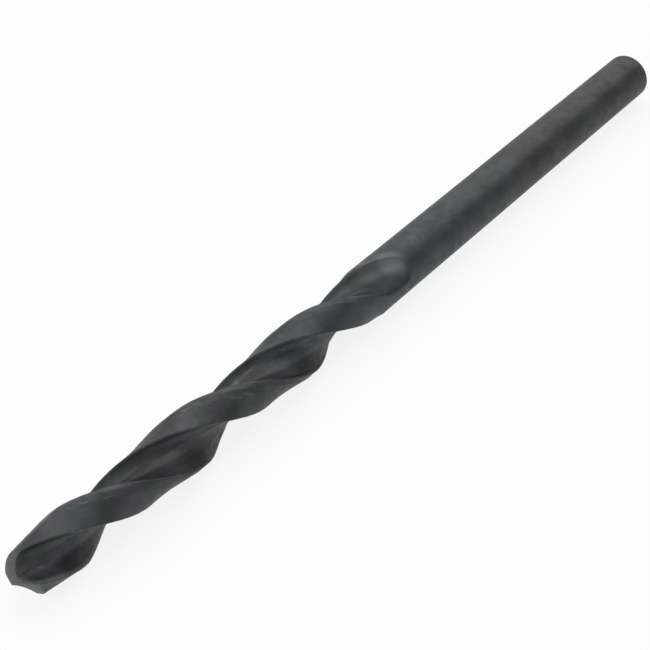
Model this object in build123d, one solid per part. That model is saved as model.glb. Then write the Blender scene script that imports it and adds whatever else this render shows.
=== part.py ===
# Twist drill: a straight round shank and two right-hand helical flutes, in one piece of steel.
# It lies along X, with the point at the -X end and the flat end of the shank at +X.
# It rests on Z = 0 with its axis level. The origin is under the middle of its length.
from build123d import *
from math import asin, atan2, cos, degrees, hypot, radians, sin, tan
import os

# Driving dimensions, in millimetres and degrees.
drill_diameter = 4.0
shank_diameter = 3.9
overall_length = 75.0
flute_length = 38.5
washout_length = 6.5
washout_power = 1.7  # how the floor of the flute rises along the washout
back_taper = 0.0005  # loss of radius for each millimetre from the point
helix_lead = 23.3
start_angle = -18.0
end_chamfer = 0.28

point_angle = 130.0
lip_clearance = 12.5
flank_radius = 5.0

web_thickness = 0.84
web_growth = 0.021
web_tangent_angle = 107.0

margin_angle = 9.0
margin_back_angle = 23.0
margin_step = 0.12
land_middle = 1.68
land_heel = 1.68
heel_angle = 81.0
heel_bevel = 0.13  # width of the broken edge along the heel, each way

wear_depth = 0.55  # radius lost at the point, fading along wear_length
wear_length = 4.8

# Values that follow from them.
radius = drill_diameter / 2
shank_radius = shank_diameter / 2
point_x = -overall_length / 2
end_x = overall_length / 2
flute_end_x = point_x + flute_length
washout_x = flute_end_x - washout_length
neck_end_x = flute_end_x + 0.6  # where the plain round of the shank starts
cutter_overrun = 1.6
lip_overrun = 0.4
seam_angle = 33.0  # keeps the seam of the turned faces off the edges of the flutes
cutter_radius = 2.4 * radius
stock_radius = 1.2 * radius
point_depth = 2.2 * radius  # more than the point takes up along the axis
grind_width = 6 * radius
section_step = 45.0  # turn of the helix between two sections of a cutter


def turn(x):
    """Angle of the leading corner about the axis, in degrees, at station x."""
    return start_angle + 360 * (x - point_x) / helix_lead


def half_web(x):
    """Half the thickness of the web at station x: it grows towards the shank."""
    return web_thickness / 2 + web_growth * (x - point_x) / 2


def washout_rise(x):
    """How far the flute has climbed out of the blank at station x."""
    if x < washout_x:
        return 0.0
    run = (x - washout_x) / washout_length
    return (shank_radius - half_web(flute_end_x)) * run**washout_power


def polar(distance, angle):
    return Vector(distance * cos(radians(angle)), distance * sin(radians(angle)))


def circle_through(a, b, c):
    """Centre of the circle through three points of a section."""
    ab = b - a
    ac = c - a
    cross = 2 * (ab.X * ac.Y - ab.Y * ac.X)
    ux = (ac.Y * ab.dot(ab) - ab.Y * ac.dot(ac)) / cross
    uy = (ab.X * ac.dot(ac) - ac.X * ab.dot(ab)) / cross
    return a + Vector(ux, uy)


def tangent_circle(end, foot, outward):
    """Centre of the circle that passes through end and touches the web at foot."""
    chord = end - foot
    reach = chord.dot(chord) / (2 * chord.dot(outward))
    return foot + outward * reach


def arc_middle(a, b, centre):
    """Middle of the shorter arc from a to b about centre."""
    half = (a + b) * 0.5 - centre
    return centre + half.normalized() * (a - centre).length


def along_arc(point, centre, length):
    """Where a step of that length round centre leads from point: anticlockwise is positive."""
    return centre + (point - centre).rotate(Axis.Z, degrees(length / (point - centre).length))


def reach_out(inner, edge):
    """Angle at which the line from inner through edge meets the outer arc of the cutter."""
    way = (edge - inner).normalized()
    along = edge.dot(way)
    far = edge + way * ((along**2 + cutter_radius**2 - edge.dot(edge)) ** 0.5 - along)
    return degrees(atan2(far.Y, far.X))


def gap_points(web):
    """Outline of what is ground away beside one margin: land, heel, heel wall and cutting face."""
    margin_back = polar(radius - margin_step, margin_back_angle)
    land_mid = polar(land_middle, (margin_back_angle + heel_angle) / 2)
    heel = polar(land_heel, heel_angle)
    corner = polar(radius, 180)
    outward = polar(1, web_tangent_angle)
    foot = outward * web
    land_centre = circle_through(margin_back, land_mid, heel)
    wall_centre = tangent_circle(heel, foot, outward)
    face_centre = tangent_circle(corner, foot, outward)
    land_end = along_arc(heel, land_centre, -heel_bevel)
    wall_start = along_arc(heel, wall_centre, -heel_bevel)
    lip_end = along_arc(corner, face_centre, -lip_overrun)
    return [
        margin_back,
        arc_middle(margin_back, land_end, land_centre),
        land_end,
        wall_start,
        arc_middle(wall_start, foot, wall_centre),
        foot,
        arc_middle(foot, lip_end, face_centre),
        lip_end,
    ]


def gap_section(x, half_turn):
    """Face across the space between two margins at station x."""
    rise = washout_rise(x)
    rotation = turn(x) + half_turn
    points = gap_points(half_web(x))
    bevel = reach_out(points[0], polar(radius, margin_angle))

    def place(point):
        distance = hypot(point.X, point.Y) + rise
        angle = degrees(atan2(point.Y, point.X)) % 360
        flat = polar(distance, angle + rotation)
        return Vector(x, flat.X, flat.Y)

    def outer(angle):
        flat = polar(cutter_radius, angle + rotation)
        return Vector(x, flat.X, flat.Y)

    spots = [place(point) for point in points]
    edges = [
        Edge.make_line(outer(bevel), spots[0]),
        Edge.make_three_point_arc(spots[0], spots[1], spots[2]),
        Edge.make_line(spots[2], spots[3]),
        Edge.make_three_point_arc(spots[3], spots[4], spots[5]),
        Edge.make_three_point_arc(spots[5], spots[6], spots[7]),
        Edge.make_line(spots[7], outer(180)),
        Edge.make_three_point_arc(outer(180), outer((180 + bevel) / 2), outer(bevel)),
    ]
    return Face(Wire(edges))


def gap_cutter(half_turn):
    """Solid that leaves one flute and the relieved land beside it."""
    first = point_x - cutter_overrun
    last = flute_end_x + cutter_overrun
    count = round((turn(last) - turn(first)) / section_step)
    stations = [first + (last - first) * i / count for i in range(count + 1)]
    return loft([gap_section(x, half_turn) for x in stations])


def blank():
    """Turned blank: the fluted length, the step down to the shank and its chamfer."""
    back_radius = radius - back_taper * (washout_x - point_x)
    with BuildPart() as turned:
        with BuildSketch(Plane.XZ):
            with BuildLine():
                Polyline(
                    (point_x, radius - wear_depth),
                    (point_x + wear_length, radius),
                    (washout_x, back_radius),
                    (neck_end_x, shank_radius),
                    (end_x - end_chamfer, shank_radius),
                    (end_x, shank_radius - end_chamfer),
                    (end_x, 0),
                    (point_x, 0),
                    (point_x, radius - wear_depth),
                )
            make_face()
        revolve(axis=Axis.X)
    return Rot(seam_angle, 0, 0) * turned.part


def flank_cylinder(half_turn):
    """Cylinder whose side holds one lip and falls away behind it."""
    web = half_web(point_x)
    back = 1 / tan(radians(point_angle / 2))
    slope = tan(radians(lip_clearance))
    ahead = degrees(asin(web / radius))
    lip_span = radius * cos(radians(ahead))
    centre_drop = slope * web + web**2 / (2 * flank_radius)
    lip_start_x = point_x - centre_drop
    corner_x = lip_start_x + back * lip_span
    lip_angle = radians(turn(corner_x) + ahead + half_turn)
    lip_way = Vector(0, cos(lip_angle), sin(lip_angle))
    behind = Vector(0, -sin(lip_angle), cos(lip_angle))
    normal = (Vector(-1, 0, 0) + lip_way * back + behind * slope).normalized()
    axis_way = (Vector(back, 0, 0) + lip_way).normalized()
    centre = Vector(lip_start_x, 0, 0) - behind * web - normal * flank_radius
    plane = Plane(origin=centre, z_dir=axis_way)
    return plane * Cylinder(flank_radius, grind_width)


def point_waste():
    """What the two flank grinds take off the end of the blank."""
    stock = Cylinder(stock_radius, radius + point_depth, align=(Align.CENTER, Align.CENTER, Align.MIN))
    stock = Pos(point_x - radius, 0, 0) * Rot(0, 90, 0) * stock
    return stock - (flank_cylinder(0) & flank_cylinder(180))


drill = blank() - gap_cutter(0) - gap_cutter(180) - point_waste()
drill = Pos(0, 0, radius) * drill
print("solids", len(drill.solids()), "volume", round(drill.volume, 2), "box", drill.bounding_box())

os.makedirs("parts", exist_ok=True)
export_step(drill, "parts/twist_drill.step")
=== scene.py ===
import bpy
from math import radians
from mathutils import Matrix, Vector

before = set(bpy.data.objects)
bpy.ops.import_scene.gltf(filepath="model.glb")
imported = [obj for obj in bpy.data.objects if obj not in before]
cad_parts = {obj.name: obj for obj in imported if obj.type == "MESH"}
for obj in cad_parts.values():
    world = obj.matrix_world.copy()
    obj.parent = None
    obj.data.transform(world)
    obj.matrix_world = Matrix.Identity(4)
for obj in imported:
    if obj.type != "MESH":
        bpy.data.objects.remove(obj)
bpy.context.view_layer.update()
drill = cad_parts["twist_drill"]
print("frame loaded")

cameraSetup = {
    "place": (-0.07849, -0.05256, 0.07047),
    "right": (0.59414, -0.80436, 0.0),
    "forward": (0.63658, 0.47020, -0.61129),
    "lens": 88.55,
    "sensor": 36.0,
    "nearest": 0.001,
    "farthest": 10.0,
}


def addCamera(setup):
    data = bpy.data.cameras.new("camera")
    data.lens = setup["lens"]
    data.sensor_width = setup["sensor"]
    data.clip_start = setup["nearest"]
    data.clip_end = setup["farthest"]
    holder = bpy.data.objects.new("camera", data)
    bpy.context.scene.collection.objects.link(holder)
    right = Vector(setup["right"]).normalized()
    forward = Vector(setup["forward"]).normalized()
    up = right.cross(forward)
    turned = Matrix((right, up, -forward)).transposed().to_4x4()
    holder.matrix_world = Matrix.Translation(setup["place"]) @ turned
    bpy.context.scene.camera = holder
    print("camera placed")


# places and sizes in metres, power in watts
lightSetup = {
    "overhead": {"place": (0.27, 0.12, 0.37), "aim": (0.0, 0.0, 0.0), "size": 0.62, "power": 1.28},
    "left": {"place": (-0.38, 0.10, 0.20), "aim": (0.0, 0.0, 0.0), "size": 0.34, "power": 0.45},
}


def addSoftLight(name, setup):
    data = bpy.data.lights.new(name, "AREA")
    data.shape = "SQUARE"
    data.size = setup["size"]
    data.energy = setup["power"]
    holder = bpy.data.objects.new(name, data)
    bpy.context.scene.collection.objects.link(holder)
    place = Vector(setup["place"])
    aim = Vector(setup["aim"]) - place
    holder.matrix_world = Matrix.Translation(place) @ aim.to_track_quat("-Z", "Y").to_matrix().to_4x4()
    print("light", name)


white = (1.0, 1.0, 1.0, 1.0)


# small helpers for wiring nodes: a value is a number, a colour or another node's output
def plug(tree, socket, value):
    if isinstance(value, bpy.types.NodeSocket):
        tree.links.new(value, socket)
    else:
        socket.default_value = value


def calc(tree, operation, *values):
    node = tree.nodes.new("ShaderNodeMath")
    node.operation = operation
    for socket, value in zip(node.inputs, values):
        plug(tree, socket, value)
    return node.outputs[0]


def times(tree, first, *others):
    for other in others:
        first = calc(tree, "MULTIPLY", first, other)
    return first


def largest(tree, first, *others):
    for other in others:
        first = calc(tree, "MAXIMUM", first, other)
    return first


def vectorCalc(tree, operation, *values):
    node = tree.nodes.new("ShaderNodeVectorMath")
    node.operation = operation
    for socket, value in zip(node.inputs, values):
        plug(tree, socket, value)
    return node.outputs["Vector"]


def fade(tree, value, low, high, start=0.0, end=1.0):
    node = tree.nodes.new("ShaderNodeMapRange")
    node.interpolation_type = "SMOOTHSTEP"
    for name, number in (("From Min", low), ("From Max", high), ("To Min", start), ("To Max", end)):
        node.inputs[name].default_value = number
    tree.links.new(value, node.inputs["Value"])
    return node.outputs["Result"]


def cloud(tree, place, scale, detail=3.0, roughness=0.5):
    node = tree.nodes.new("ShaderNodeTexNoise")
    node.inputs["Scale"].default_value = scale
    node.inputs["Detail"].default_value = detail
    node.inputs["Roughness"].default_value = roughness
    tree.links.new(place, node.inputs["Vector"])
    return node.outputs["Fac"]


# noise brought between two levels
def mottle(tree, place, pattern):
    return fade(tree, cloud(tree, place, *pattern["noise"]), *pattern["levels"])


# the mix node keeps its two colours at inputs 6 and 7, and the mixed one at output 2
def blend(tree, share, first, second, way="MIX"):
    node = tree.nodes.new("ShaderNodeMix")
    node.data_type = "RGBA"
    node.blend_type = way
    plug(tree, node.inputs[0], share)
    plug(tree, node.inputs[6], first)
    plug(tree, node.inputs[7], second)
    return node.outputs[2]


def joinAxes(tree, x, y, z):
    node = tree.nodes.new("ShaderNodeCombineXYZ")
    for socket, value in zip(node.inputs, (x, y, z)):
        plug(tree, socket, value)
    return node.outputs[0]


def splitAxes(tree, place):
    node = tree.nodes.new("ShaderNodeSeparateXYZ")
    plug(tree, node.inputs[0], place)
    return node.outputs[0], node.outputs[1], node.outputs[2]


def seenDirectly(tree):
    path = tree.nodes.new("ShaderNodeLightPath").outputs
    return largest(tree, path["Is Camera Ray"], path["Is Glossy Ray"], path["Is Transmission Ray"])


floorSetup = {"size": 3.0, "albedo": (0.85, 0.85, 0.85, 1.0), "whiteShare": 0.85}


def addFloor(setup):
    bpy.ops.object.select_all(action="DESELECT")
    bpy.ops.mesh.primitive_plane_add(size=setup["size"], location=(0, 0, 0))
    floor = bpy.context.object
    floor.name = "floor"
    material = bpy.data.materials.new("whiteTable")
    material.use_nodes = True
    tree = material.node_tree
    tree.nodes.clear()
    out = tree.nodes.new("ShaderNodeOutputMaterial")
    matt = tree.nodes.new("ShaderNodeBsdfDiffuse")
    matt.inputs["Color"].default_value = setup["albedo"]
    glow = tree.nodes.new("ShaderNodeEmission")
    glow.inputs["Color"].default_value = white
    mix = tree.nodes.new("ShaderNodeMixShader")
    plug(tree, mix.inputs[0], times(tree, seenDirectly(tree), setup["whiteShare"]))
    plug(tree, mix.inputs[1], matt.outputs[0])
    plug(tree, mix.inputs[2], glow.outputs[0])
    plug(tree, out.inputs["Surface"], mix.outputs[0])
    floor.data.materials.append(material)
    print("floor laid")


worldSetup = {
    "bright": (0.72, 0.73, 0.73, 1.0),
    "dim": (0.27, 0.275, 0.28, 1.0),  # low down on one side, where the room is darker
    "dimWay": (0.64, -0.77, 0.0),
    "dimWidth": (0.45, 0.98),
}


def addWorld(setup):
    world = bpy.data.worlds.new("room")
    bpy.context.scene.world = world
    world.use_nodes = True
    tree = world.node_tree
    tree.nodes.clear()
    out = tree.nodes.new("ShaderNodeOutputWorld")
    way = tree.nodes.new("ShaderNodeTexCoord").outputs["Generated"]
    towards = tree.nodes.new("ShaderNodeVectorMath")
    towards.operation = "DOT_PRODUCT"
    plug(tree, towards.inputs[0], way)
    towards.inputs[1].default_value = Vector(setup["dimWay"]).normalized()
    share = fade(tree, towards.outputs["Value"], *setup["dimWidth"])
    room = tree.nodes.new("ShaderNodeBackground")
    plug(tree, room.inputs["Color"], blend(tree, share, setup["bright"], setup["dim"]))
    backdrop = tree.nodes.new("ShaderNodeBackground")
    backdrop.inputs["Color"].default_value = white
    # the camera sees plain white, and everything else the room
    path = tree.nodes.new("ShaderNodeLightPath")
    mix = tree.nodes.new("ShaderNodeMixShader")
    plug(tree, mix.inputs[0], path.outputs["Is Camera Ray"])
    plug(tree, mix.inputs[1], room.outputs[0])
    plug(tree, mix.inputs[2], backdrop.outputs[0])
    plug(tree, out.inputs["Surface"], mix.outputs[0])
    print("world set")


# lengths in millimetres and angles in degrees, as the drill is ground, unless a note says metres
# a fade is where it starts, where it ends, and then its share at each of the two, or 0 and 1 if not given
# a pattern is its noise (scale, detail, roughness) and the fade that its noise goes through
oxideSetup = {
    "tip": (-0.0375, 0.0, 0.002),  # metres
    "lead": 23.3,
    "startAngle": -18.0,
    # fades along the drill
    "tipWear": (0.0, 4.8, 0.55, 0.0),  # radius lost at the point
    "fluted": (35.0, 38.5, 1.0, 0.0),
    "heeled": (31.0, 35.0, 1.0, 0.0),
    "tipCorner": (3.5, 7.5, 0.55, 0.0),
    "ground": (2.0, 2.6, 1.0, 0.0),  # how far back the ground point reaches
    "cornerFade": (14.0, 25.0, 1.0, 0.4),
    "scuffFade": (19.0, 29.0, 1.0, 0.25),
    "middleStart": (24.0, 32.0),
    "middleEnd": (42.0, 52.0, 1.0, 0.0),
    "shankEnd": (44.0, 60.0),
    # fades round the drill, from a leading corner
    "fluteAngle": (84.0, 96.0),
    "faceAngle": (140.0, 168.0),
    "wallAngle": (138.0, 160.0, 1.0, 0.0),
    "creaseStart": (80.0, 88.0),
    "creaseEnd": (94.0, 118.0, 1.0, 0.0),
    "marginBack": 23.0,
    "heel": 79.5,
    # fades away from an edge, round the drill
    "besideCorner": (3.0, 16.0, 1.0, 0.0),
    "besideHeel": (0.5, 6.0, 1.0, 0.0),
    "besideRidge": (1.0, 9.0, 1.0, 0.0),
    # fades out from the axis
    "fluteReach": (1.15, 1.75, 1.0, 0.0),
    "faceReach": (1.80, 2.00, 1.0, 0.0),
    "creaseReach": (1.52, 1.64, 1.0, 0.0),
    "cornerReach": (1.58, 1.86),
    "heelReach": (1.50, 1.62),
    "hollowReach": (1.80, 1.94, 1.0, 0.0),
    # fade by how squarely a ground face looks along the axis
    "pointFacing": (-0.62, -0.80),
    # soft patches of tone at both ends of a flute, some of them painted highlight, painted light or
    # painted shade: place along and round, radius there, fade and strength
    # a painted highlight in the hollow where each flute runs out
    "paintedHighlight": {"along": 37.3, "angle": 100.0, "radius": 1.6, "size": (1.35, 0.1), "strength": 0.9},
    # painted light on the upper wall where each flute runs out
    "upperWallPaintedLight": {"along": 35.6, "angle": 80.0, "radius": 1.5, "size": (1.8, 0.2), "strength": 0.6},
    # painted light on the rim where each flute runs out
    "rimPaintedLight": {"along": 37.4, "angle": 85.0, "radius": 1.9, "size": (1.4, 0.4), "strength": 0.65},
    "lastLand": {"along": 34.3, "angle": 45.0, "radius": 1.9, "size": (3.2, 0.5), "strength": 0.22},
    # painted shade at the start of each flute, by the point
    "fluteStartShade": {"along": 1.4, "angle": 143.0, "radius": 0.7, "size": (2.0, 0.6), "strength": 0.6},
    # painted shade in the end of each flute, where it runs out
    "shaded": {"along": 37.5, "angle": 134.0, "radius": 1.7, "size": (1.0, 0.2), "strength": 0.55},
    # painted shade on the lower wall where each flute runs out
    "lowerWallShade": {"along": 35.1, "angle": 124.0, "radius": 1.1, "size": (2.0, 0.5), "strength": 0.80},
    # how patterns are drawn out, along the drill or, for the rings, round it: the smaller, the longer
    "drawnOut": {"streaks": 0.10, "dashes": 0.35, "scuffs": 0.45},
    "ringsDrawnOut": 0.02,
    # colours of the oxide and of the steel under it
    "grey": (0.052, 0.054, 0.055, 1.0),
    "teal": (0.047, 0.057, 0.058, 1.0),
    "violet": (0.058, 0.054, 0.063, 1.0),
    "fluteTone": (0.079, 0.077, 0.081, 1.0),
    # painted shade: the dark tone put on the cutting faces, along each heel and in patches at both ends of
    # a flute
    "paintedShadeTone": (0.018, 0.0175, 0.020, 1.0),
    # colour of bare steel, also used for the painted light
    "wornAndLitTone": (0.125, 0.127, 0.125, 1.0),
    # colour of the painted highlight in the flute's end
    "paintedHighlightTone": (0.150, 0.160, 0.172, 1.0),
    "middleTint": (0.90, 1.0, 1.05, 1.0),  # bluer over the middle of the drill
    "endTint": (0.93, 0.865, 0.865, 1.0),  # plainer towards the end of the shank
    "wallShare": 0.55,
    # how much painted shade goes along each heel and on the cutting faces
    "creaseShadeShare": 0.35,
    "faceShare": 0.92,
    "tealPatches": {"noise": (0.35, 2.0), "levels": (0.48, 0.66, 0.0, 0.9)},
    "violetPatches": {"noise": (0.30, 2.0), "levels": (0.50, 0.68, 0.0, 0.9)},
    "violetShift": (31.0, 7.0, 3.0),  # so that the two don't fall together
    "blotches": {"noise": (0.55, 4.0, 0.55), "levels": (0.3, 0.7, 0.82, 1.24)},
    "streaks": {"noise": (2.2, 3.0), "levels": (0.3, 0.72, 0.80, 1.28)},
    "streakShare": (0.8, 0.1),  # more in the flutes, and some everywhere
    "grain": {"noise": (9.0, 3.0, 0.6), "levels": (0.25, 0.75, 0.92, 1.08)},
    # oxide rubbed off
    "heelWear": 0.35,
    "pointWear": 0.4,
    "brokenEdge": {"noise": (3.5, 4.0, 0.6), "levels": (0.46, 0.70)},
    "edgeWear": (0.45, 0.02),  # where the edge is bare, and all along it
    "dashes": {"noise": (2.6, 3.0, 0.6), "levels": (0.58, 0.74, 0.0, 0.55)},
    "scuffs": {"noise": (1.9, 2.0), "levels": (0.62, 0.70, 0.0, 0.8)},
    "wallScuffs": 0.8,
    # the surface itself
    "metallic": 0.5,
    "edgeTint": (0.65, 0.65, 0.65, 1.0),
    "roughness": {"noise": (1.6, 4.0, 0.6), "levels": (0.3, 0.7, 0.40, 0.54)},
    "wornSmooth": 0.10,
    "fluteLines": (16.0, 2.0),
    "shankRings": (14.0, 2.0),
    "fineEtch": (22.0, 3.0, 0.6),
    "lineHeight": 0.5,
    "bumpStrength": 0.25,
    "bumpDistance": 0.00001,  # metres
    "edgeRadius": (31.0, 37.0, 0.00016, 0.0006),  # metres, along the flutes and where they run out
    "tipRadius": (0.4, 2.5, 0.00018, 0.0),  # metres, more at the point
    "edgeSamples": 8,
}
millimetres = 1000.0
fullTurn = 360.0


# where each spot is: along the axis from the tip, out from the axis, and round it with the helix undone
def placeOnDrill(tree, setup):
    place = tree.nodes.new("ShaderNodeTexCoord").outputs["Object"]
    fromTip = vectorCalc(tree, "SUBTRACT", place, setup["tip"])
    along, y, z = (times(tree, axis, millimetres) for axis in splitAxes(tree, fromTip))
    reach = calc(tree, "SQRT", calc(tree, "ADD", times(tree, y, y), times(tree, z, z)))
    angle = calc(tree, "DEGREES", calc(tree, "ARCTAN2", z, y))
    helix = calc(tree, "MULTIPLY_ADD", along, fullTurn / setup["lead"], setup["startAngle"])
    fromCorner = calc(tree, "SUBTRACT", angle, helix)
    local = calc(tree, "FLOORED_MODULO", fromCorner, fullTurn / 2)
    untwisted = calc(tree, "RADIANS", fromCorner)
    u = times(tree, reach, calc(tree, "COSINE", untwisted))
    v = times(tree, reach, calc(tree, "SINE", untwisted))
    rings = setup["ringsDrawnOut"]
    at = {
        "along": along,
        "reach": reach,
        "fullReach": calc(tree, "ADD", reach, fade(tree, along, *setup["tipWear"])),
        "local": local,
        "nearCorner": calc(tree, "PINGPONG", local, fullTurn / 4),
        "nearHeel": calc(tree, "ABSOLUTE", calc(tree, "SUBTRACT", local, setup["heel"])),
        "nearMarginBack": calc(tree, "ABSOLUTE", calc(tree, "SUBTRACT", local, setup["marginBack"])),
        "solid": joinAxes(tree, along, y, z),
        "rings": joinAxes(tree, along, times(tree, y, rings), times(tree, z, rings)),
    }
    for name, share in setup["drawnOut"].items():
        at[name] = joinAxes(tree, times(tree, along, share), u, v)
    return at


# where the grinding left its surfaces and edges, each as a share from 0 to 1
def groundAreas(tree, at, setup):
    def share(place, name):
        return fade(tree, at[place], *setup[name])

    fluted = share("along", "fluted")
    heeled = share("along", "heeled")
    flute = times(tree, share("local", "fluteAngle"), share("fullReach", "fluteReach"), fluted)
    corner = times(tree, share("nearCorner", "besideCorner"), share("fullReach", "cornerReach"))
    heel = times(tree, share("nearHeel", "besideHeel"), share("fullReach", "heelReach"), heeled)
    facing = splitAxes(tree, tree.nodes.new("ShaderNodeTexCoord").outputs["Normal"])[0]
    # the crease under each heel and the cutting face mark where shade is painted
    creaseShade = times(tree, share("local", "creaseStart"), share("local", "creaseEnd"))
    return {
        "fluted": fluted,
        "flute": flute,
        "face": times(tree, share("local", "faceAngle"), share("fullReach", "faceReach"), fluted),
        "wall": times(tree, flute, share("local", "wallAngle")),
        "creaseShade": times(tree, creaseShade, share("fullReach", "creaseReach"), heeled),
        "edges": times(tree, largest(tree, corner, times(tree, heel, setup["heelWear"])), fluted),
        "tipCorner": times(tree, corner, share("along", "tipCorner")),
        "hollow": share("reach", "hollowReach"),
        "point": times(tree, fade(tree, facing, *setup["pointFacing"]), share("along", "ground")),
        "ridges": largest(tree, share("nearMarginBack", "besideRidge"), share("nearHeel", "besideRidge")),
    }


# a soft round patch on the drill's side
def patch(tree, at, setup):
    lengthways = calc(tree, "SUBTRACT", at["along"], setup["along"])
    turned = calc(tree, "SUBTRACT", at["local"], setup["angle"])
    around = times(tree, turned, radians(setup["radius"]))
    squares = calc(tree, "MULTIPLY_ADD", around, around, times(tree, lengthways, lengthways))
    return times(tree, fade(tree, calc(tree, "SQRT", squares), *setup["size"]), setup["strength"])


# soft changes of hue and depth, lighter flute walls, and painted shade: dark cutting faces, a dark line
# along each heel, and dark patches where each flute starts and runs out
def oxideColourAndShade(tree, at, ground, setup):
    violetPlace = vectorCalc(tree, "ADD", at["solid"], setup["violetShift"])
    colour = blend(tree, mottle(tree, at["solid"], setup["tealPatches"]), setup["grey"], setup["teal"])
    colour = blend(tree, mottle(tree, violetPlace, setup["violetPatches"]), colour, setup["violet"])
    colour = blend(tree, times(tree, ground["wall"], setup["wallShare"]), colour, setup["fluteTone"])
    middleStart = fade(tree, at["along"], *setup["middleStart"])
    middle = times(tree, middleStart, fade(tree, at["along"], *setup["middleEnd"]))
    colour = blend(tree, middle, colour, setup["middleTint"], "MULTIPLY")
    shankEnd = fade(tree, at["along"], *setup["shankEnd"])
    colour = blend(tree, shankEnd, colour, setup["endTint"], "MULTIPLY")
    # painted shade on the cutting faces, under each heel and in the patches at both ends of a flute
    paintedShade = largest(
        tree,
        times(tree, ground["creaseShade"], setup["creaseShadeShare"]),
        times(tree, ground["face"], setup["faceShare"]),
        patch(tree, at, setup["shaded"]),
        patch(tree, at, setup["lowerWallShade"]),
        times(tree, patch(tree, at, setup["fluteStartShade"]), ground["flute"]),
    )
    colour = blend(tree, paintedShade, colour, setup["paintedShadeTone"])
    streaks = mottle(tree, at["streaks"], setup["streaks"])
    streakShare = calc(tree, "MULTIPLY_ADD", ground["flute"], *setup["streakShare"])
    blotches = mottle(tree, at["solid"], setup["blotches"])
    grain = mottle(tree, at["solid"], setup["grain"])
    for pattern in (blotches, blend(tree, streakShare, white, streaks), grain):
        colour = blend(tree, 1.0, colour, pattern, "MULTIPLY")
    return colour


# oxide rubbed off the edges, the point and a few high spots, and painted light on the upper wall and the
# rim where each flute runs out
def bareAndLitShare(tree, at, ground, setup):
    broken = mottle(tree, at["streaks"], setup["brokenEdge"])
    edgeWear = calc(tree, "MULTIPLY_ADD", broken, *setup["edgeWear"])
    edges = times(tree, ground["edges"], edgeWear, fade(tree, at["along"], *setup["cornerFade"]))
    dashes = times(tree, mottle(tree, at["dashes"], setup["dashes"]), ground["ridges"], ground["fluted"])
    scuffed = largest(tree, ground["ridges"], times(tree, ground["wall"], setup["wallScuffs"]))
    scuffFade = fade(tree, at["along"], *setup["scuffFade"])
    scuffs = times(tree, mottle(tree, at["scuffs"], setup["scuffs"]), scuffFade)
    return largest(
        tree,
        edges,
        ground["tipCorner"],
        times(tree, ground["point"], setup["pointWear"]),
        patch(tree, at, setup["upperWallPaintedLight"]),
        patch(tree, at, setup["rimPaintedLight"]),
        patch(tree, at, setup["lastLand"]),
        dashes,
        times(tree, scuffs, scuffed, ground["fluted"]),
    )


# fine etched grain everywhere, grinding lines down the flutes and rings round the shank, on softened edges
def etchedSurface(tree, at, ground, setup):
    rings = cloud(tree, at["rings"], *setup["shankRings"])
    lines = blend(tree, ground["fluted"], rings, cloud(tree, at["streaks"], *setup["fluteLines"]))
    etch = cloud(tree, at["solid"], *setup["fineEtch"])
    softness = calc(
        tree,
        "ADD",
        fade(tree, at["along"], *setup["edgeRadius"]),
        fade(tree, at["along"], *setup["tipRadius"]),
    )
    softened = tree.nodes.new("ShaderNodeBevel")
    softened.samples = setup["edgeSamples"]
    plug(tree, softened.inputs["Radius"], softness)
    bump = tree.nodes.new("ShaderNodeBump")
    bump.inputs["Strength"].default_value = setup["bumpStrength"]
    bump.inputs["Distance"].default_value = setup["bumpDistance"]
    plug(tree, bump.inputs["Height"], calc(tree, "MULTIPLY_ADD", lines, setup["lineHeight"], etch))
    plug(tree, bump.inputs["Normal"], softened.outputs[0])
    return bump.outputs[0]


def blackOxide(setup):
    material = bpy.data.materials.new("blackOxideSteel")
    material.use_nodes = True
    tree = material.node_tree
    shader = tree.nodes["Principled BSDF"]
    at = placeOnDrill(tree, setup)
    ground = groundAreas(tree, at, setup)
    bareAndLit = bareAndLitShare(tree, at, ground, setup)
    # painted highlight where each flute runs out, kept inside the hollow
    paintedHighlight = times(tree, patch(tree, at, setup["paintedHighlight"]), ground["hollow"])
    # bare steel and painted light both take the worn tone
    colour = blend(tree, bareAndLit, oxideColourAndShade(tree, at, ground, setup), setup["wornAndLitTone"])
    colour = blend(tree, paintedHighlight, colour, setup["paintedHighlightTone"])
    smoother = times(tree, bareAndLit, setup["wornSmooth"])
    rough = calc(tree, "SUBTRACT", mottle(tree, at["solid"], setup["roughness"]), smoother)
    plug(tree, shader.inputs["Base Color"], colour)
    plug(tree, shader.inputs["Roughness"], rough)
    shader.inputs["Metallic"].default_value = setup["metallic"]
    shader.inputs["Specular Tint"].default_value = setup["edgeTint"]
    plug(tree, shader.inputs["Normal"], etchedSurface(tree, at, ground, setup))
    return material


bpy.context.scene.view_settings.view_transform = "Standard"
addCamera(cameraSetup)
addFloor(floorSetup)
addWorld(worldSetup)
for name in lightSetup:
    addSoftLight(name, lightSetup[name])

drill.data.materials.clear()
drill.data.materials.append(blackOxide(oxideSetup))
print("drill dressed")
